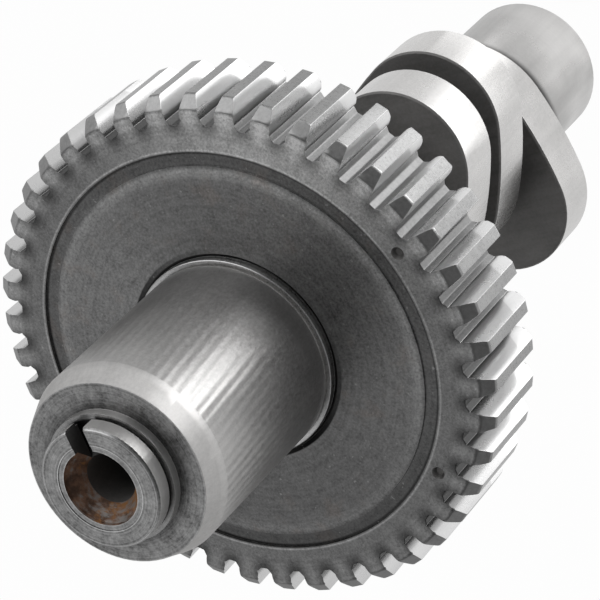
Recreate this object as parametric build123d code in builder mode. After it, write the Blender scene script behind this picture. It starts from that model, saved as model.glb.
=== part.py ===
from build123d import *
import os
from math import acos, atan2, cos, hypot, pi, radians, sin, sqrt, tan

os.makedirs("parts", exist_ok=True)

# Camshaft of a 45 degree V-twin engine: a one-piece shaft with four lobes, and the gear pressed onto it.
# The shaft stands on its rear end. Z runs along the shaft towards the nose, from the rear end face.
# X points through the notch in the nose. Angles turn anticlockwise, seen from the nose. Sizes are in millimetres.

# Rear journal, for a needle bearing in the engine case
rear_journal_diameter = 20.64
rear_journal_length = 20.4
rear_edge_chamfer = 0.35
rear_relief_length = 1.5
rear_relief_depth = 0.4
centre_diameter = 5.0
centre_pilot_diameter = 2.0
centre_pilot_length = 2.2
centre_angle = 60

# Lobes, in order from the rear end: the angle of each nose from the notch
lobe_angles = (-155.8, -40.0, -45.5, 70.0)
lobe_pitch = 12.7
lobe_width = 7.94
lobe_edge_chamfer = 0.25
base_circle_diameter = 26.56
lobe_lift = 7.72
lobe_nose_radius = 10.44
lobe_flank_radius = 58.5
core_depth = 2.3

# Neck and shoulder between the last lobe and the gear
neck_length = 6.04
shoulder_length = 6.0
shoulder_step = 2.33
shoulder_chamfer = 0.5

# Front journal, with the gear seat and its lip at the root, and a lead-in taper at the end
journal_diameter = 26.24
journal_length = 27.4
lead_length = 3.25
lead_depth = 1.15
root_relief_length = 0.35
root_relief_depth = 0.3
lip_length = 1.15
lip_step = 0.3
lip_chamfer = 0.1
seat_step = 0.13

# Nose, with a collar at its root, a threaded hole and a drive notch
nose_diameter = 16.0
nose_length = 3.85
nose_chamfer = 0.3
nose_collar_step = 0.55
nose_collar_length = 1.2
nose_undercut = 0.4
nose_undercut_length = 0.35
mouth_diameter = 11.3
mouth_depth = 0.1
counterbore_diameter = 9.9
counterbore_depth = 0.65
countersink_angle = 80
tap_diameter = 6.53
tap_depth = 26.0
drill_point_angle = 118
notch_width = 2.6

# Gear, with straight involute teeth: 16 teeth to each inch of pitch diameter
tooth_count = 42
tooth_module = 1.5875
pressure_angle = 14.5
tooth_dedendum = 2.04
root_corner = 0.55
gear_width = 14.1
tooth_chamfer_depth = 1.66
tooth_chamfer_length = 1.4
tooth_angle = 3.07
bore_chamfer = 0.5
rear_bore_chamfer = 0.4
rim_width = 3.6
face_groove_width = 1.86
face_groove_depth = 0.35
groove_bevel_width = 0.95
groove_bevel_depth = 0.12
timing_dot_angles = (-73.0, -134.0)
timing_dot_diameter = 1.7
timing_dot_depth = 0.6

# Heights along the shaft
first_lobe_start = rear_journal_length + rear_relief_length
lobe_starts = [first_lobe_start + lobe_pitch * place for place in range(len(lobe_angles))]
shoulder_start = lobe_starts[-1] + lobe_width + neck_length
gear_start = shoulder_start + shoulder_length
gear_front = gear_start + gear_width
lip_end = gear_front + lip_length
journal_start = lip_end + root_relief_length
lead_start = gear_front + journal_length
journal_end = lead_start + lead_length
collar_end = journal_end + nose_collar_length
nose_end = journal_end + nose_length

# Radii along the shaft
rear_radius = rear_journal_diameter / 2
base_radius = base_circle_diameter / 2
core_radius = base_radius - core_depth
journal_radius = journal_diameter / 2
root_relief_radius = journal_radius - root_relief_depth
lip_radius = journal_radius + lip_step
seat_radius = lip_radius + seat_step
shoulder_radius = seat_radius + shoulder_step
nose_radius = nose_diameter / 2
collar_radius = nose_radius + nose_collar_step
undercut_radius = nose_radius - nose_undercut

# Radii of the gear
pitch_radius = tooth_module * tooth_count / 2
tip_radius = pitch_radius + tooth_module
root_radius = pitch_radius - tooth_dedendum
involute_radius = pitch_radius * cos(radians(pressure_angle))
tooth_end_radius = tip_radius - tooth_chamfer_depth
groove_outer_radius = root_radius - rim_width
groove_inner_radius = groove_outer_radius - face_groove_width
rim_middle_radius = root_radius - rim_width / 2


# A point at a distance from a centre, in a direction given in radians from the X axis.
def on_circle(centre, radius, angle):
    return (centre[0] + radius * cos(angle), centre[1] + radius * sin(angle))


# One lobe outline about the shaft axis, its nose along X: base circle, two flank arcs and a nose arc,
# each tangent to the next.
def draw_lobe():
    nose_centre = (base_radius + lobe_lift - lobe_nose_radius, 0)
    base_reach = lobe_flank_radius - base_radius
    nose_reach = lobe_flank_radius - lobe_nose_radius
    along = (base_reach**2 - nose_reach**2 + nose_centre[0] ** 2) / (2 * nose_centre[0])
    flank_centre = (along, -sqrt(base_reach**2 - along**2))
    base_turn = atan2(-flank_centre[1], -flank_centre[0])
    nose_turn = atan2(-flank_centre[1], nose_centre[0] - flank_centre[0])
    base_point = on_circle((0, 0), base_radius, base_turn)
    middle_point = on_circle(flank_centre, lobe_flank_radius, (base_turn + nose_turn) / 2)
    nose_point = on_circle(nose_centre, lobe_nose_radius, nose_turn)
    lower_base, lower_middle, lower_nose = [(x, -y) for x, y in (base_point, middle_point, nose_point)]
    ThreePointArc(nose_point, (base_radius + lobe_lift, 0), lower_nose)
    ThreePointArc(nose_point, middle_point, base_point)
    ThreePointArc(base_point, (-base_radius, 0), lower_base)
    ThreePointArc(lower_base, lower_middle, lower_nose)


# Half the angle of a tooth space at a radius, in radians, from the involute of the gear's base circle.
def half_space(radius):
    pitch_roll = radians(pressure_angle)
    roll = acos(min(1.0, involute_radius / radius))
    half_tooth = pi / (2 * tooth_count) + (tan(pitch_roll) - pitch_roll) - (tan(roll) - roll)
    return pi / tooth_count - half_tooth


# One tooth space along X: flanks through three points of the involute, straight inside the base circle,
# down to the root circle.
def draw_space():
    start_radius = max(involute_radius, root_radius + root_corner)
    end_radius = tip_radius + root_corner
    radii = (start_radius, (start_radius + end_radius) / 2, end_radius)
    left = [on_circle((0, 0), radius, half_space(radius)) for radius in radii]
    right = [(x, -y) for x, y in left]
    root_left = on_circle((0, 0), root_radius, half_space(start_radius))
    root_right = (root_left[0], -root_left[1])
    ThreePointArc(*left)
    ThreePointArc(*right)
    Line(left[-1], right[-1])
    Line(left[0], root_left)
    Line(right[0], root_right)
    ThreePointArc(root_left, (root_radius, 0), root_right)


# Camshaft
with BuildPart() as camshaft:
    # Turned body, from the rear end to the nose
    with BuildSketch(Plane.XZ):
        with BuildLine():
            Polyline(
                (0, 0),
                (rear_radius - rear_edge_chamfer, 0),
                (rear_radius, rear_edge_chamfer),
                (rear_radius, rear_journal_length),
                (rear_radius - rear_relief_depth, rear_journal_length),
                (rear_radius - rear_relief_depth, first_lobe_start),
                (core_radius, first_lobe_start),
                (core_radius, shoulder_start),
                (shoulder_radius - shoulder_chamfer, shoulder_start),
                (shoulder_radius, shoulder_start + shoulder_chamfer),
                (shoulder_radius, gear_start),
                (seat_radius, gear_start),
                (seat_radius, gear_front),
                (lip_radius, gear_front),
                (lip_radius, lip_end - lip_chamfer),
                (lip_radius - lip_chamfer, lip_end),
                (root_relief_radius, lip_end),
                (root_relief_radius, journal_start),
                (journal_radius, journal_start),
                (journal_radius, lead_start),
                (journal_radius - lead_depth, journal_end),
                (collar_radius, journal_end),
                (collar_radius, collar_end),
                (undercut_radius, collar_end),
                (undercut_radius, collar_end + nose_undercut_length),
                (nose_radius, collar_end + nose_undercut_length),
                (nose_radius, nose_end - nose_chamfer),
                (nose_radius - nose_chamfer, nose_end),
                (0, nose_end),
                close=True,
            )
        make_face()
    revolve(axis=Axis.Z)

    # The lobes, ground on the one-piece shaft, with their edges broken
    for height, angle in zip(lobe_starts, lobe_angles):
        with BuildSketch(Plane.XY.offset(height).rotated((0, 0, angle))):
            with BuildLine():
                draw_lobe()
            make_face()
        extrude(amount=lobe_width)
        arcs = camshaft.edges(Select.LAST).filter_by(GeomType.CIRCLE)
        rims = [arc for arc in arcs if hypot((arc @ 0.5).X, (arc @ 0.5).Y) > base_radius - core_depth / 2]
        chamfer(rims, lobe_edge_chamfer)

    # Lathe centre in the rear end face
    centre_depth = (centre_diameter - centre_pilot_diameter) / 2 / tan(radians(centre_angle / 2))
    with BuildSketch(Plane.XZ):
        with BuildLine():
            Polyline(
                (0, 0),
                (centre_diameter / 2, 0),
                (centre_pilot_diameter / 2, centre_depth),
                (centre_pilot_diameter / 2, centre_depth + centre_pilot_length),
                (0, centre_depth + centre_pilot_length),
                close=True,
            )
        make_face()
    revolve(axis=Axis.Z, mode=Mode.SUBTRACT)

    # Threaded hole in the nose: shallow mouth, short counterbore, countersink and tapping hole
    cone_length = (counterbore_diameter - tap_diameter) / 2 / tan(radians(countersink_angle / 2))
    point_length = tap_diameter / 2 / tan(radians(drill_point_angle / 2))
    with BuildSketch(Plane.XZ):
        with BuildLine():
            Polyline(
                (0, nose_end),
                (mouth_diameter / 2, nose_end),
                (mouth_diameter / 2, nose_end - mouth_depth),
                (counterbore_diameter / 2, nose_end - mouth_depth),
                (counterbore_diameter / 2, nose_end - counterbore_depth),
                (tap_diameter / 2, nose_end - counterbore_depth - cone_length),
                (tap_diameter / 2, nose_end - tap_depth),
                (0, nose_end - tap_depth - point_length),
                close=True,
            )
        make_face()
    revolve(axis=Axis.Z, mode=Mode.SUBTRACT)

    # Drive notch, through one side of the nose down to its collar
    with BuildSketch(Plane.XY.offset(collar_end)):
        with Locations((nose_radius, 0)):
            Rectangle(nose_diameter, notch_width)
    extrude(amount=nose_end - collar_end, mode=Mode.SUBTRACT)
camshaft.part.label = "camshaft"
export_step(camshaft.part, "parts/camshaft.step")

# Gear
with BuildPart() as cam_gear:
    # Toothed outline, with the teeth set by their angle from the notch in the nose
    with BuildSketch(Plane.XY.offset(gear_start)):
        Circle(tip_radius)
        with BuildSketch(mode=Mode.PRIVATE) as space:
            with BuildLine():
                draw_space()
            make_face()
            chamfer(space.vertices().sort_by(Axis.X)[:2], root_corner)
        with PolarLocations(0, tooth_count, start_angle=tooth_angle + 180 / tooth_count):
            add(space.sketch, mode=Mode.SUBTRACT)
    extrude(amount=gear_width)

    # Turned blank: chamfered tooth ends and bore, with a ring groove in the front face
    with BuildSketch(Plane.XZ):
        with BuildLine():
            Polyline(
                (seat_radius + rear_bore_chamfer, gear_start),
                (tooth_end_radius, gear_start),
                (tip_radius, gear_start + tooth_chamfer_length),
                (tip_radius, gear_front - tooth_chamfer_length),
                (tooth_end_radius, gear_front),
                (groove_outer_radius, gear_front),
                (groove_outer_radius, gear_front - face_groove_depth),
                (groove_inner_radius, gear_front - face_groove_depth),
                (groove_inner_radius, gear_front - groove_bevel_depth),
                (groove_inner_radius - groove_bevel_width, gear_front),
                (seat_radius + bore_chamfer, gear_front),
                (seat_radius, gear_front - bore_chamfer),
                (seat_radius, gear_start + rear_bore_chamfer),
                close=True,
            )
        make_face()
    revolve(axis=Axis.Z, mode=Mode.INTERSECT)

    # Timing dots on the rim of the front face
    for angle in timing_dot_angles:
        with BuildSketch(Plane.XY.offset(gear_front)):
            with Locations(on_circle((0, 0), rim_middle_radius, radians(angle))):
                Circle(timing_dot_diameter / 2)
        extrude(amount=-timing_dot_depth, taper=30, mode=Mode.SUBTRACT)
cam_gear.part.label = "cam_gear"
export_step(cam_gear.part, "parts/cam_gear.step")
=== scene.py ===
import bpy
import bmesh
from math import cos, hypot, pi, radians, sin
from mathutils import Matrix, Vector


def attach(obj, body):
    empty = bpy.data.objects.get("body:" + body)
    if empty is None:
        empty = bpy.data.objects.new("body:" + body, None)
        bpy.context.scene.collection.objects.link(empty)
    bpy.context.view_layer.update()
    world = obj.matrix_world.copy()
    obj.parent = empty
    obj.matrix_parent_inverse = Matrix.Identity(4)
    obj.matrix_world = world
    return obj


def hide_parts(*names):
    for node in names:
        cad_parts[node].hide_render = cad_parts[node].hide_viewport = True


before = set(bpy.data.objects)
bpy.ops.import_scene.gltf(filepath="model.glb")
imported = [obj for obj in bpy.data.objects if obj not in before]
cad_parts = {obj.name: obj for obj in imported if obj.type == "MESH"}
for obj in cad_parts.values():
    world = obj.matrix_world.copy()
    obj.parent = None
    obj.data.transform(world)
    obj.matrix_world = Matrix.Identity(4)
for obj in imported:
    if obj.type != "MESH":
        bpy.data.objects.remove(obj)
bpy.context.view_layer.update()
mm = 0.001

# The camera stands where the photograph was taken. Here the shaft stands on its rear end, so the view is
# rolled. In millimetres and degrees
photoCamera = {
    "aim": (-0.58, -0.29, 77.32),
    "distance": 409.67,
    "azimuth": -63.51,
    "elevation": 51.22,
    "roll": -134.54,
    "lens": 190.17,
    "sensor": 36.0,
    "nearest": 10,
}

# Soft boxes: azimuth, radius and height say where each stands round the shaft, and tilt is the elevation that
# it shines at, towards the shaft's side. Sizes are in millimetres, and glow is the brightness
softBoxes = {
    "keyPanel": {"azimuth": -59, "radius": 330, "height": 3, "tilt": 90, "width": 240, "depth": 280, "glow": 3.2},
    "journalPanel": {"azimuth": -63, "radius": 156, "height": 3, "tilt": 90, "width": 66, "depth": 66, "glow": 2.7},
    "sidePanel": {"azimuth": -59, "radius": 330, "height": 2, "tilt": 90, "width": 900, "depth": 420, "glow": 0.3},
    "toothPanel": {"azimuth": -60, "radius": 75, "height": 3, "tilt": 90, "width": 112, "depth": 34, "glow": 1.35},
    "lobePanel": {"azimuth": -37, "radius": 36, "height": 3, "tilt": 90, "width": 20, "depth": 42, "glow": 0.9},
    "topBox": {"azimuth": 116, "radius": 430, "height": 640, "tilt": -52, "width": 620, "depth": 620, "glow": 0.45},
    "sideBox": {"azimuth": 12, "radius": 620, "height": 430, "tilt": -30, "width": 760, "depth": 500, "glow": 1.0},
}
# The room's grey from the horizon up to the zenith, as (sine of the elevation, grey)
roomGreys = ((0.0, 0.5), (0.2, 0.45), (0.4, 0.12), (1.0, 0.1))


def direction(azimuth, elevation):
    flat = cos(radians(elevation))
    return Vector((flat * cos(radians(azimuth)), flat * sin(radians(azimuth)), sin(radians(elevation))))


def facing(towards):
    return towards.to_track_quat("Z", "Y").to_matrix().to_4x4()


def addCamera():
    lens = bpy.data.cameras.new("photoCamera")
    lens.lens = photoCamera["lens"]
    lens.sensor_width = photoCamera["sensor"]
    lens.sensor_fit = "HORIZONTAL"
    lens.clip_start = photoCamera["nearest"] * mm
    camera = bpy.data.objects.new("photoCamera", lens)
    bpy.context.collection.objects.link(camera)
    back = direction(photoCamera["azimuth"], photoCamera["elevation"])
    place = Vector(photoCamera["aim"]) * mm + back * photoCamera["distance"] * mm
    roll = Matrix.Rotation(radians(photoCamera["roll"]), 4, "Z")
    camera.matrix_world = Matrix.Translation(place) @ facing(back) @ roll
    bpy.context.scene.camera = camera


def addStudio():
    for name, box in softBoxes.items():
        lamp = bpy.data.lights.new(name, "AREA")
        lamp.shape = "RECTANGLE"
        lamp.size = box["width"] * mm
        lamp.size_y = box["depth"] * mm
        lamp.energy = box["glow"] * pi * lamp.size * lamp.size_y
        light = bpy.data.objects.new(name, lamp)
        bpy.context.collection.objects.link(light)
        outwards = direction(box["azimuth"], 0)
        place = (outwards * box["radius"] + Vector((0, 0, box["height"]))) * mm
        light.matrix_world = Matrix.Translation(place) @ facing(-direction(box["azimuth"] + 180, box["tilt"]))
        light.visible_camera = False
    world = bpy.data.worlds.new("studio")
    world.use_nodes = True
    room = Finish("studioRoom", world)
    height = room.node("SeparateXYZ", {}, {0: room.node("TexCoord")}, 2)
    cameraRay = room.node("LightPath")
    air = room.blend(cameraRay, room.ramp(height, *roomGreys), grey(1.0))
    room.node("OutputWorld", {}, {"Surface": room.node("Background", {}, {"Color": air})})
    bpy.context.scene.world = world
    bpy.context.scene.view_settings.view_transform = "Standard"


# A socket whose sums, differences, products and whole powers add their own Math nodes
class Value:
    def __init__(self, finish, socket):
        self.finish = finish
        self.socket = socket

    def math(self, operation, *values):
        return self.finish.node("Math", {"operation": operation}, dict(enumerate(values)))

    def __add__(self, other):
        return self.math("ADD", self, other)

    def __radd__(self, other):
        return self.math("ADD", other, self)

    def __sub__(self, other):
        return self.math("SUBTRACT", self, other)

    def __rsub__(self, other):
        return self.math("SUBTRACT", other, self)

    def __mul__(self, other):
        return self.math("MULTIPLY", self, other)

    def __rmul__(self, other):
        return self.math("MULTIPLY", other, self)

    def __pow__(self, times):
        product = self
        for _ in range(times - 1):
            product = product * self
        return product


# One procedural material and its nodes. Radii and heights are in millimetres, from the shaft's axis and rear end
class Finish:
    def __init__(self, name, holder=None):
        self.material = holder or bpy.data.materials.new(name)
        self.material.use_nodes = True
        self.tree = self.material.node_tree
        self.tree.nodes.clear()

    # A node of any kind: its settings first, then the values or links of its sockets
    def node(self, kind, settings=None, values=None, output=0):
        made = self.tree.nodes.new("ShaderNode" + kind)
        for name, setting in (settings or {}).items():
            if name == "stops":
                ramp = made.color_ramp.elements
                while len(ramp) < len(setting):
                    ramp.new(0.5)
                for element, (position, level) in zip(ramp, setting):
                    element.position = position
                    element.color = (level, level, level, 1)
            else:
                setattr(made, name, setting)
        for key, value in (values or {}).items():
            if isinstance(value, Value):
                self.tree.links.new(value.socket, made.inputs[key])
            else:
                made.inputs[key].default_value = value
        return Value(self, made.outputs[output]) if made.outputs else None

    def objectPoint(self):
        return self.node("TexCoord", output=3)

    def place(self, scale=(1, 1, 1)):
        return self.node("Mapping", {}, {"Vector": self.objectPoint(), "Scale": scale})

    def radius(self):
        flat = self.place((1 / mm, 1 / mm, 0))
        return self.node("VectorMath", {"operation": "LENGTH"}, {0: flat}, 1)

    def height(self):
        return self.node("SeparateXYZ", {}, {0: self.objectPoint()}, 2) * (1 / mm)

    def angle(self):
        here = self.node("SeparateXYZ", {}, {0: self.objectPoint()})
        across = Value(self, here.socket.node.outputs[1])
        return across.math("ARCTAN2", across, here)

    def wave(self, value, operation="SINE"):
        return value.math(operation, value)

    # The cosine of the angle from a side, which is 1 there, and no less than a given value elsewhere
    def towards(self, degrees, least):
        cosine = self.wave(self.angle() - radians(degrees), "COSINE")
        return cosine.math("MAXIMUM", cosine, least)

    def between(self, mask, first, second):
        return (second - first) * mask + first

    def noise(self, scale, detail=4.0, roughness=0.5):
        return self.node("TexNoise", {}, {"Vector": self.place(scale), "Scale": 1.0, "Detail": detail,
                                          "Roughness": roughness})

    # Rings of uneven width round the shaft
    def ringNoise(self, radius, detail):
        return self.node("TexNoise", {"noise_dimensions": "1D"}, {"W": radius, "Scale": 1.0, "Detail": detail})

    def ramp(self, value, *stops):
        return self.node("ValToRGB", {"stops": stops}, {"Fac": value})

    # From 0 at the start to 1 at the end
    def rise(self, value, start, end):
        return self.node("MapRange", {"interpolation_type": "SMOOTHSTEP"},
                         {"Value": value, "From Min": start, "From Max": end})

    def ridge(self, value, start, peak, end):
        return self.rise(value, start, peak) - self.rise(value, peak, end)

    def blend(self, mask, first, second):
        return self.node("Mix", {"data_type": "RGBA"}, {0: mask, 6: first, 7: second}, 2)

    # A level made uneven by noises, each with its share
    def mottle(self, level, *parts):
        factor = 1.0
        for noise, amount in parts:
            factor = (noise - 0.5) * amount + factor
        return factor * level

    def shade(self, level, warm=0.0):
        return self.blend(level, grey(0.0), grey(1.0, warm))

    def bump(self, height, strength, distance):
        return self.node("Bump", {}, {"Height": height, "Strength": strength, "Distance": distance})

    def surface(self, settings):
        shader = self.node("BsdfPrincipled", {}, settings)
        self.node("OutputMaterial", {}, {"Surface": shader})
        return self.material


def grey(level, warm=0.0):
    return (level * (1 + warm), level, level * (1 - warm), 1)


# What counts as one corner, in millimetres, and as one flat face, in degrees
merging = {"distance": 0.001, "flatAngle": 0.8}


# A copy of a CAD piece, its triangles merged and joined into flat faces
def mergedCopy(nodeName):
    shape = bmesh.new()
    shape.from_mesh(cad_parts[nodeName].data)
    bmesh.ops.remove_doubles(shape, verts=shape.verts, dist=merging["distance"] * mm)
    bmesh.ops.dissolve_limit(shape, angle_limit=radians(merging["flatAngle"]), verts=shape.verts,
                             edges=shape.edges)
    return shape


def radiusOf(point):
    return hypot(point.x, point.y)


def meanRadius(face):
    return sum(radiusOf(corner.co) for corner in face.verts) / len(face.verts) / mm


# Rounds the edges whose middle, in millimetres, is chosen, and whose angle in degrees is between two limits
def breakEdges(shape, size, chosen, sharper=30, blunter=180, segments=2):
    edges = [edge for edge in shape.edges
             if radians(sharper) < edge.calc_face_angle(0) < radians(blunter)
             and chosen((edge.verts[0].co + edge.verts[1].co) / 2 / mm)]
    bmesh.ops.bevel(shape, geom=edges, offset=size * mm, affect="EDGES", segments=segments, profile=0.5,
                    material=-1)


def dressNode(shape, nodeName, pieceName, materials):
    mesh = bpy.data.meshes.new(pieceName)
    for face in shape.faces:
        face.smooth = True
    shape.to_mesh(mesh)
    shape.free()
    for material in materials.values():
        mesh.materials.append(material)
    piece = bpy.data.objects.new(pieceName, mesh)
    bpy.context.collection.objects.link(piece)
    normals = piece.modifiers.new("flatFacesStayFlat", "WEIGHTED_NORMAL")
    normals.keep_sharp = True
    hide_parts(nodeName)
    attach(piece, "root")


addCamera()
addStudio()
print("camera and studio ready")

# Marks of the grinding wheel: how many waves lie round the shaft, how they lean, in radians for each millimetre
# along it, and wander, their depth in millimetres, and what is left of them in a quiet stretch
grinding = {"waves": 69, "lean": 0.45, "wander": 9, "depth": 0.012, "quietest": 0.1, "warmth": 0.012}


# Ground steel: a satin finish that spreads highlights along the shaft, with worn clouds, and with streaks along
# it from the wheel's chatter, which grows between the two heights given as quiet. A given shadow, with shade
# towards one side, is painted on
def groundSteel(name, level, roughness, chatter, along=0.5, grit=0.22, clouds=0.0, shadow=None, quiet=None):
    finish = Finish(name)
    wander = finish.noise((70, 70, 12), 2.0)
    leaning = finish.angle() * grinding["waves"] + finish.height() * grinding["lean"]
    stripes = finish.wave(leaning + wander * grinding["wander"])
    streaks = finish.noise((900, 900, 25), 2.0)
    patches = finish.noise((150, 150, 90), 4.0, 0.6)
    grain = finish.noise((2600, 2600, 1600), 3.0, 0.7)
    rings = finish.noise((90, 90, 5000), 2.0, 0.6)
    cloudy = finish.noise((75, 75, 60), 2.0)
    tone = finish.mottle(level, (patches, 0.35), (grain, grit), (rings, 0.1), (streaks, 0.16), (cloudy, clouds))
    if shadow:
        # Painted shadow beside the lobe: a dark line at its edge and a soft fall below it
        aside = 1 - finish.towards(shadow["azimuth"], -1.0)
        edge = shadow["height"] - (aside * shadow["curve"] + shadow["slope"]) * aside
        below = edge - finish.height()
        line = (1 - finish.rise(below, 0.0, shadow["line"])) * finish.rise(aside, *shadow["lineEnds"])
        soft = 1 - finish.rise(below, 0.0, shadow["soft"])
        # Painted shade, darker towards the shaded side
        tone = tone * (1 - finish.towards(shadow["shadedSide"], 0.0) * shadow["shadeLoss"])
        tone = tone * (1 - line * shadow["lineLoss"]) * (1 - soft * shadow["softLoss"])
    waves = (stripes * (streaks * 1.3 + 0.5) + streaks * 0.7) * chatter
    if quiet:
        waves = waves * finish.between(finish.rise(finish.height(), *quiet), grinding["quietest"], 1.0)
    return finish.surface({
        "Base Color": finish.shade(tone, grinding["warmth"]), "Metallic": 1.0,
        "Roughness": finish.mottle(roughness, (patches, 0.4), (grain, grit), (cloudy, clouds * 0.5)),
        "Anisotropic": along, "Anisotropic Rotation": 0.25,
        "Normal": finish.bump(waves + grain * grit * 0.5 + rings * 0.05, 1.0, grinding["depth"] * mm),
    })


# Painted highlights along edges of turned faces: how far each reaches inwards and outwards in millimetres, and
# how bright it is
edgeGlint = {"inwards": 0.16, "outwards": 0.12, "bright": 0.6}


# Turned faces: concentric tool marks with a fine scratchy grain, with painted shade inside a given radius and a
# painted highlight along edges of given radii
def turnedSteel(name, level, roughness, marks=0.25, dirt=0.3, shadedInside=None, glintEdges=()):
    finish = Finish(name)
    radius = finish.radius()
    lines = finish.ringNoise(radius * 4.5, 3.0)
    patches = finish.noise((300, 300, 300), 4.0, 0.6)
    blotches = finish.noise((900, 900, 900), 3.0, 0.6)
    grain = finish.noise((2600, 2600, 2600), 3.0, 0.7)
    tone = finish.mottle(level, (lines, marks), (patches, dirt), (blotches, dirt), (grain, 0.5 + dirt))
    # Painted shade inside the given radius
    if shadedInside:
        start, end, least = shadedInside
        tone = tone * (finish.rise(radius, start, end) * (1 - least) + least)
    # A painted highlight along each given edge
    for edge in glintEdges:
        glint = finish.ridge(radius, edge - edgeGlint["inwards"], edge, edge + edgeGlint["outwards"])
        tone = glint * patches * edgeGlint["bright"] + tone
    return finish.surface({
        "Base Color": finish.shade(tone), "Metallic": 1.0,
        "Roughness": finish.mottle(roughness, (grain, 0.6), (patches, 0.3)),
        "Normal": finish.bump(lines * 0.35 + grain * 0.6, 0.5, 0.014 * mm),
    })


# Steel that was never ground, with faint streaks: lobe sides and core, bores and dots. As painted light, the relief
# is made bright and the notch near black
def roughSteel(name, level, roughness, metallic=1.0):
    finish = Finish(name)
    streaks = finish.noise((900, 110, 400), 4.0, 0.6)
    clouds = finish.noise((160, 160, 160), 4.0, 0.6)
    grain = finish.noise((2400, 2400, 2400), 3.0, 0.7)
    tone = finish.mottle(level, (streaks, 0.6), (clouds, 0.5), (grain, 0.6))
    return finish.surface({
        "Base Color": finish.shade(tone, 0.02), "Metallic": metallic,
        "Roughness": finish.mottle(roughness, (grain, 0.5)),
        "Normal": finish.bump(streaks * 0.4 + grain * 0.6, 0.4, 0.02 * mm),
    })


# Countersink of the nose hole: brown rust, orange towards one side, with grey steel showing towards another
noseRust = {
    "darkBrown": (0.1, 0.055, 0.035, 1),
    "lightBrown": (0.34, 0.19, 0.12, 1),
    "orange": (0.42, 0.2, 0.075, 1),
    "orangeSide": -150,
    "bareSteel": grey(0.36, 0.03),
    "bareSide": 170,
}


def rustySteel(name):
    finish = Finish(name)
    blotches = finish.noise((500, 500, 500), 5.0, 0.65)
    spots = finish.noise((330, 330, 330), 4.0, 0.65)
    grain = finish.noise((2600, 2600, 2600), 3.0, 0.7)
    scrapes = finish.noise((700, 700, 2600), 4.0, 0.65)
    bareSide = finish.towards(noseRust["bareSide"], 0.0)
    brown = finish.blend(finish.rise(blotches, 0.35, 0.65), noseRust["darkBrown"], noseRust["lightBrown"])
    orange = finish.rise(spots + finish.towards(noseRust["orangeSide"], 0.0) * 0.14, 0.54, 0.66)
    rust = finish.blend(orange, brown, noseRust["orange"])
    bare = finish.rise(scrapes * 0.7 + blotches * 0.3 + bareSide * 0.09, 0.52, 0.68) * 0.8
    return finish.surface({
        "Base Color": finish.blend(bare, rust, noseRust["bareSteel"]), "Metallic": bare * 0.5 + 0.1,
        "Roughness": 0.65 - bare * 0.15,
        "Normal": finish.bump(grain * 0.6 + scrapes * 0.4, 0.6, 0.03 * mm),
    })


# Camshaft: where each finish ends, in millimetres along and across the shaft, and how squarely a face has to
# look along or away from the shaft to count as a side, an end or an outer face. The lip in front of the gear
# grows outwards, and the fine edges are broken least
shaftFinish = {
    "rearEnd": 21.5,
    "lobeEnd": 74.5,
    "coreRadius": 11.4,
    "reliefStart": 95.2,
    "reliefRadius": 12.95,
    "seatEnd": 95.5,
    "journalEnd": 121.5,
    "taperEnd": 124.6,
    "collarFace": 125.5,
    "noseFace": 127.5,
    "holeStart": 90,
    "countersinkRadius": 5.1,
    "tapRadius": 3.4,
    "chatterRise": (98, 114),
    "sideFacing": 0.3,
    "endFacing": 0.5,
    "outFacing": 0.6,
    "lipHeights": (94.0, 95.3),
    "lipRadii": (13.25, 13.5),
    "lipGrowth": 1.02,
    "edgeBreak": 0.06,
    "fineEdgeBreak": 0.025,
    "fineRadius": 5.8,
    "fineHeights": ((20.3, 22), (93, 96), (125.5, 126.4)),
}
# Painted shadow on the rear journal, along the side of the first lobe as the camera sees it. Its upper edge lies
# at the height, and bends down by the slope and the curve to both sides of the azimuth. Painted shade also
# darkens the journal towards the shaded side. Losses are shares of the tone
lobeShadow = {
    "azimuth": -56,
    "height": 17.8,
    "slope": 3.0,
    "curve": 5.3,
    "line": 1.8,
    "lineEnds": (0.75, 0.3),
    "lineLoss": 0.9,
    "soft": 5.0,
    "softLoss": 0.14,
    "shadedSide": 25,
    "shadeLoss": 0.3,
}
shaftMaterials = {
    "journal": groundSteel("groundJournal", 0.56, 0.34, chatter=1.0, grit=0.6, quiet=shaftFinish["chatterRise"]),
    "rear": groundSteel("groundRearJournal", 0.62, 0.26, chatter=0.2, grit=0.12, clouds=1.8, shadow=lobeShadow),
    "lobe": groundSteel("groundLobes", 0.68, 0.27, chatter=0.12, along=0.3, grit=0.2, clouds=0.2),
    "taper": groundSteel("groundTaper", 0.67, 0.48, chatter=0.1, along=0.3, grit=0.4),
    "nose": groundSteel("groundNose", 0.6, 0.42, chatter=0.2, along=0.8),
    # Painted highlights along edges of the end and the shoulder, and painted shade inside given radii of the
    # shoulder and the collar
    "end": turnedSteel("turnedNose", 0.36, 0.32, marks=1.2, dirt=1.1, glintEdges=(7.75, 5.72, 5.0)),
    "shoulder": turnedSteel("turnedShoulder", 0.33, 0.34, marks=0.8, dirt=1.2, shadedInside=(8.8, 10.4, 0.55),
                            glintEdges=(11.95,)),
    "collar": turnedSteel("turnedCollar", 0.4, 0.34, marks=0.5, dirt=0.6, shadedInside=(7.75, 8.0, 0.12)),
    "seat": turnedSteel("turnedSeat", 0.66, 0.3),
    # The relief is painted bright: a painted highlight line beside the seat
    "relief": roughSteel("paintedHighlightRelief", 1.0, 0.5, metallic=0.0),
    "lobeSide": roughSteel("darkLobeSides", 0.24, 0.48, metallic=0.5),
    "countersink": rustySteel("rustyCountersink"),
    # The notch is painted near black: painted shade in its recess
    "notch": roughSteel("shadedNotch", 0.06, 0.6, metallic=0.0),
    "bore": roughSteel("boreShadow", 0.17, 0.6, metallic=0.0),
}


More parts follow.
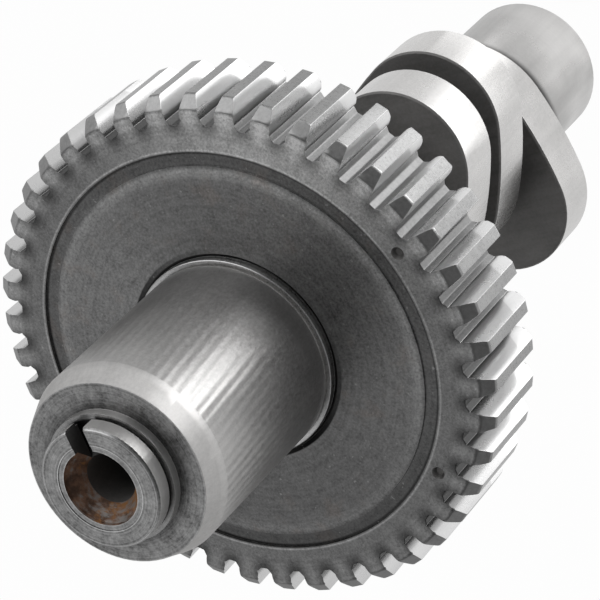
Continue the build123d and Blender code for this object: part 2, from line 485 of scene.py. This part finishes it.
def shaftZone(radius, middle, normal):
    lengthwise = abs(normal.z)
    if middle.z > shaftFinish["holeStart"] and radius < shaftFinish["countersinkRadius"]:
        return "bore" if radius < shaftFinish["tapRadius"] else "countersink"
    if middle.z > shaftFinish["journalEnd"]:
        if lengthwise > shaftFinish["endFacing"]:
            if middle.z > shaftFinish["noseFace"]:
                return "end"
            return "collar" if middle.z > shaftFinish["collarFace"] else "shoulder"
        if middle.z < shaftFinish["taperEnd"]:
            return "taper"
        outwards = Vector((middle.x, middle.y, 0)).normalized()
        return "nose" if normal.dot(outwards) > shaftFinish["outFacing"] else "notch"
    if shaftFinish["rearEnd"] < middle.z < shaftFinish["lobeEnd"]:
        isSide = lengthwise > shaftFinish["sideFacing"] or radius < shaftFinish["coreRadius"]
        return "lobeSide" if isSide else "lobe"
    if middle.z < shaftFinish["rearEnd"]:
        return "end" if lengthwise > shaftFinish["sideFacing"] else "rear"
    if shaftFinish["reliefStart"] < middle.z < shaftFinish["seatEnd"] and radius < shaftFinish["reliefRadius"]:
        return "relief"
    return "seat" if middle.z < shaftFinish["seatEnd"] else "journal"


def isFineOnShaft(at):
    inStretch = any(low < at.z < high for low, high in shaftFinish["fineHeights"])
    return radiusOf(at) < shaftFinish["fineRadius"] or inStretch


shaft = mergedCopy("camshaft")
lipBottom, lipTop = shaftFinish["lipHeights"]
lipInner, lipOuter = shaftFinish["lipRadii"]
for corner in shaft.verts:
    if lipBottom < corner.co.z / mm < lipTop and lipInner < radiusOf(corner.co) / mm < lipOuter:
        corner.co.x *= shaftFinish["lipGrowth"]
        corner.co.y *= shaftFinish["lipGrowth"]
for face in shaft.faces:
    zone = shaftZone(meanRadius(face), face.calc_center_median() / mm, face.normal)
    face.material_index = list(shaftMaterials).index(zone)
breakEdges(shaft, shaftFinish["fineEdgeBreak"], isFineOnShaft)
breakEdges(shaft, shaftFinish["edgeBreak"], lambda at: not isFineOnShaft(at))
dressNode(shaft, "camshaft", "camshaftSteel", shaftMaterials)
print("camshaft dressed")


# Front and rear faces of the gear: blasted web, dirty groove and a machined rim, brighter than the web, round the
# teeth. Painted light on them: the web, the rim and the tooth faces lighter towards given sides, the rim's as a
# painted reflection, painted highlights on the groove's bevel, the rim's edge and below each tooth, a painted
# shadow line in the groove's outer corner, painted shade in front of the tooth gaps and a painted shadow round the
# shaft. Radii are in millimetres, sides are azimuths in degrees, and gains and losses are shares
gearWearAndLight = {
    "webLevel": 0.23,
    "webLitSide": -70,
    "webLitGain": 0.11,
    "webSecondLitSide": 50,
    "webSecondLitGain": 0.09,
    "bevel": (23.6, 25.2, 25.9),
    "bevelHighlightGain": 0.15,
    "groove": (25.8, 27.75),
    "grooveSoftness": 0.2,
    "grooveLoss": 0.33,
    "grooveShadowLine": (27.2, 27.5),
    "grooveShadowLoss": 0.4,
    "rim": 27.75,
    "rimSoftness": 0.1,
    "rimLevel": 0.29,
    "rimLitSide": -40,
    "rimReflectionGain": 0.4,
    "rimGlint": (27.8, 27.95, 28.2),
    "rimGlintGain": 0.26,
    "roots": (29.2, 31.4),
    "rootHighlightGain": 0.08,
    "toothCount": 42,
    "toothAngle": 3.07,
    "toothFaceLit": (31.0, 32.2),
    "toothFaceLitSide": -5,
    "toothFaceLitSpread": (-0.15, 0.3),
    "toothFaceLitGain": 0.17,
    "gapShadow": (14.5, 14.7),
    "gapShadowSides": (65, -160),
    "gapShadowLoss": 0.97,
    "dirtColour": (1.0, 0.9, 0.84, 1),
}


def gearFaceSteel(name):
    finish = Finish(name)
    radius = finish.radius()
    angle = finish.angle()
    clouds = finish.noise((230, 230, 230), 4.0, 0.6)
    blotches = finish.noise((700, 700, 700), 3.0, 0.6)
    grain = finish.noise((2700, 2700, 2700), 3.0, 0.75)
    smears = finish.ringNoise(radius * 1.6 + clouds * 1.5, 2.0)
    specks = finish.rise(finish.noise((1500, 1500, 1500), 2.0), 0.68, 0.76)
    # Where each part of the face lies
    bevel = finish.ridge(radius, *gearWearAndLight["bevel"])
    inner, outer = gearWearAndLight["groove"]
    groove = (finish.rise(radius, inner, inner + gearWearAndLight["grooveSoftness"])
              - finish.rise(radius, outer - gearWearAndLight["grooveSoftness"], outer))
    # A painted shadow line in the groove's outer corner
    corner = (finish.rise(radius, *gearWearAndLight["grooveShadowLine"])
              - finish.rise(radius, outer - gearWearAndLight["rimSoftness"], outer))
    rim = finish.rise(radius, gearWearAndLight["rim"], gearWearAndLight["rim"] + gearWearAndLight["rimSoftness"])
    rimGlint = finish.ridge(radius, *gearWearAndLight["rimGlint"])
    roots = finish.rise(radius, *gearWearAndLight["roots"])
    teeth = finish.wave((angle - radians(gearWearAndLight["toothAngle"])) * gearWearAndLight["toothCount"], "COSINE")
    # How bright each is, with painted light on given sides
    rimLitSide = finish.towards(gearWearAndLight["rimLitSide"], 0.0)
    webLitSide = finish.towards(gearWearAndLight["webLitSide"], 0.0)
    webSecondLit = finish.towards(gearWearAndLight["webSecondLitSide"], 0.0)
    toothLitSide = finish.rise(finish.towards(gearWearAndLight["toothFaceLitSide"], -1.0), *gearWearAndLight["toothFaceLitSpread"])
    toothFaceLit = finish.rise(radius, *gearWearAndLight["toothFaceLit"]) * toothLitSide
    # The web: lighter towards two sides as painted light, and a painted highlight on the bevel
    web = (gearWearAndLight["webLevel"] + webLitSide ** 2 * gearWearAndLight["webLitGain"]
           + webSecondLit ** 4 * gearWearAndLight["webSecondLitGain"])
    web = web + bevel * gearWearAndLight["bevelHighlightGain"] * (rimLitSide + 0.5)
    # The rim: a painted reflection towards one side, tooth faces lighter towards another, and a painted highlight
    # below each tooth
    onRim = (gearWearAndLight["rimLevel"] + rimLitSide ** 4 * gearWearAndLight["rimReflectionGain"] + toothFaceLit * gearWearAndLight["toothFaceLitGain"]
             + roots * teeth * gearWearAndLight["rootHighlightGain"])
    # A painted highlight along the rim's edge
    level = finish.between(rim, web, onRim) + rimGlint * gearWearAndLight["rimGlintGain"]
    # A painted shadow round the shaft, towards two sides
    firstSide, secondSide = (finish.towards(azimuth, 0.0) for azimuth in gearWearAndLight["gapShadowSides"])
    gapShadow = (1 - finish.rise(radius, *gearWearAndLight["gapShadow"])) * (firstSide ** 2 + secondSide ** 2)
    # The groove is darker by dirt, and its corner by a painted shadow line
    level = level * (1 - groove * gearWearAndLight["grooveLoss"] - corner * gearWearAndLight["grooveShadowLoss"])
    level = level * (1 - gapShadow * gearWearAndLight["gapShadowLoss"])
    # Dirt, grain and specks on top
    level = finish.mottle(level, (clouds, 0.5), (blotches, 0.7), (grain, 1.8), (smears, 0.35)) + specks * 0.2
    # Painted shade in front of each tooth gap, near the roots, made uneven by blotches
    level = level * (1 - roots * (1 - teeth) * (blotches * 0.4 + 0.05))
    dirt = finish.rise(clouds, 0.55, 0.7) * 0.5 * (1 - rim)
    return finish.surface({
        "Base Color": finish.blend(dirt, finish.shade(level),
                                   finish.blend(level, grey(0.0), gearWearAndLight["dirtColour"])),
        "Metallic": 1.0, "Roughness": finish.mottle(0.46, (grain, 0.5), (clouds, 0.3)),
        "Normal": finish.bump(grain * 0.7 + blotches * 0.5, 0.6, 0.03 * mm),
    })


# Painted reflection on the flanks' rear end, as the height less the radius in millimetres, and painted shade
# where a flank is deep
flankShading = {"reflectedRear": (50.0, 50.4), "reflectedRearGain": 0.26, "shadedRoots": (31.7, 33.0), "shadedRootsLoss": 0.42}


# Tooth flanks: hobbed smooth and bright, made paler at the rear end by a painted reflection and darker towards the
# roots by painted shade
def flankSteel(name, level, roughness):
    finish = Finish(name)
    clouds = finish.noise((260, 260, 90), 3.0)
    lines = finish.noise((1500, 1500, 60), 2.0)
    grain = finish.noise((2600, 2600, 2600), 3.0, 0.7)
    radius = finish.radius()
    # Painted reflection at the rear end and painted shade towards the roots
    reflectedRear = 1 - finish.rise(finish.height() - radius, *flankShading["reflectedRear"])
    shadedRoots = 1 - finish.rise(radius, *flankShading["shadedRoots"])
    shading = reflectedRear * flankShading["reflectedRearGain"] - shadedRoots * flankShading["shadedRootsLoss"] + 1
    tone = finish.mottle(level, (clouds, 0.16), (lines, 0.1), (grain, 0.12)) * shading
    return finish.surface({
        "Base Color": finish.shade(tone), "Metallic": 1.0,
        "Roughness": finish.mottle(roughness, (clouds, 0.3), (grain, 0.1)),
        "Normal": finish.bump(lines * 0.8 + grain * 0.06, 0.3, 0.01 * mm),
    })


# Tooth lands, ends and roots: left from turning and hobbing, greyer and rougher, with painted shade towards
# given sides
def landSteel(name, level, roughness, *shadedSides):
    finish = Finish(name)
    rings = finish.noise((420, 420, 3000), 3.0, 0.65)
    clouds = finish.noise((350, 350, 350), 4.0, 0.6)
    grain = finish.noise((2500, 2500, 2500), 3.0, 0.75)
    tone = finish.mottle(level, (rings, 0.15), (clouds, 0.3), (grain, 0.7))
    # Painted shade towards each given side
    for azimuth, loss in shadedSides:
        tone = tone * (1 - finish.towards(azimuth, 0.0) * loss)
    return finish.surface({
        "Base Color": finish.shade(tone), "Metallic": 1.0,
        "Roughness": finish.mottle(roughness, (rings, 0.2), (grain, 0.4)),
        "Normal": finish.bump(rings * 0.2 + grain * 0.5, 0.5, 0.014 * mm),
    })


# Cam gear: where each finish lies and how far each edge is rounded, in millimetres, how squarely a flat and a
# slanting face look along the shaft, and the limits of the edges' angles in degrees
gearFinish = {
    "boreEdge": 14.0,
    "dotStart": 28.2,
    "dotFloor": 93,
    "frontFace": 94.07,
    "rimRadius": 30.5,
    "rootRadius": 31.95,
    "endRadius": 33.26,
    "landRadius": 34.8,
    "tipRadius": 34.925,
    "flatFacing": 0.9,
    "slantFacing": 0.3,
    "edgeBreak": 0.05,
    "edgeBreakSharper": 40,
    "fineEdgeBreak": 0.025,
    "endRound": 0.3,
    "tipRound": 0.28,
    "tipBlunter": 62,
    "rootRound": 0.13,
    "nearness": 0.05,
}
gearMaterials = {
    "face": gearFaceSteel("gearFace"),
    "flank": flankSteel("toothFlanks", 0.68, 0.28),
    "root": landSteel("toothRoots", 0.28, 0.38, (45, 0.75), (-150, 0.68)),
    "land": landSteel("toothLands", 0.33, 0.28),
    "end": landSteel("toothEnds", 0.46, 0.36, (-175, 0.35)),
    "dot": roughSteel("timingDots", 0.22, 0.5, metallic=0.6),
    "bore": roughSteel("gearBore", 0.12, 0.5),
}


def gearZone(radius, height, normal):
    lengthwise = abs(normal.z)
    if radius < gearFinish["boreEdge"] and lengthwise < gearFinish["flatFacing"]:
        return "bore"
    if radius < gearFinish["rimRadius"]:
        isDot = radius > gearFinish["dotStart"] and gearFinish["dotFloor"] < height < gearFinish["frontFace"]
        return "dot" if isDot else "face"
    if lengthwise > gearFinish["flatFacing"]:
        return "face"
    if lengthwise > gearFinish["slantFacing"]:
        return "end"
    if radius > gearFinish["landRadius"]:
        return "land"
    return "root" if radius < gearFinish["rootRadius"] else "flank"


def isEndEdge(at):
    return abs(radiusOf(at) - gearFinish["endRadius"]) < gearFinish["nearness"]


def isTipEdge(at):
    return abs(radiusOf(at) - gearFinish["tipRadius"]) < gearFinish["nearness"]


def isRootEdge(at):
    return gearFinish["rimRadius"] < radiusOf(at) < gearFinish["rootRadius"]


def isOnWeb(at):
    return radiusOf(at) < gearFinish["rimRadius"]


gear = mergedCopy("cam_gear")
for face in gear.faces:
    zone = gearZone(meanRadius(face), face.calc_center_median().z / mm, face.normal)
    face.material_index = list(gearMaterials).index(zone)
breakEdges(gear, gearFinish["endRound"], isEndEdge, segments=4)
breakEdges(gear, gearFinish["tipRound"], isTipEdge, blunter=gearFinish["tipBlunter"], segments=4)
breakEdges(gear, gearFinish["rootRound"], isRootEdge, segments=3)
breakEdges(gear, gearFinish["fineEdgeBreak"], isOnWeb)
breakEdges(gear, gearFinish["edgeBreak"], lambda at: not isOnWeb(at), sharper=gearFinish["edgeBreakSharper"])
dressNode(gear, "cam_gear", "camGearSteel", gearMaterials)
print("cam gear dressed")

# Floor: pale paper that the camera sees as white, with the object's soft shadow kept. Metal mirrors it too, as
# (distance from the shaft, white), darker in the middle distance. Distances and the size are in metres
paperFloor = {
    "size": 3.0,
    "paper": 0.85,
    "white": 1.0,
    "seenWhite": 0.98,
    "mirroredWhite": ((0.0, 0.78), (0.11, 0.78), (0.17, 0.25), (0.35, 0.2), (0.5, 0.5)),
}
floorShape = bmesh.new()
bmesh.ops.create_grid(floorShape, x_segments=1, y_segments=1, size=paperFloor["size"])
floorMesh = bpy.data.meshes.new("floor")
floorShape.to_mesh(floorMesh)
floorShape.free()
floor = bpy.data.objects.new("floor", floorMesh)
bpy.context.collection.objects.link(floor)
paper = Finish("floorPaper")
cameraRay = paper.node("LightPath")
glossyRay = Value(paper, cameraRay.socket.node.outputs["Is Glossy Ray"])
fromShaft = paper.node("VectorMath", {"operation": "LENGTH"}, {0: paper.place()}, 1)
mirrored = paper.ramp(fromShaft, *paperFloor["mirroredWhite"])
whiteShare = cameraRay * paperFloor["seenWhite"] + glossyRay * mirrored
paperShader = paper.node("BsdfDiffuse", {}, {"Color": grey(paperFloor["paper"])})
whiteShader = paper.node("Emission", {}, {"Color": grey(1.0), "Strength": paperFloor["white"]})
bothShaders = paper.node("MixShader", {}, {0: whiteShare, 1: paperShader, 2: whiteShader})
paper.node("OutputMaterial", {}, {"Surface": bothShaders})
floorMesh.materials.append(paper.material)
print("floor laid")
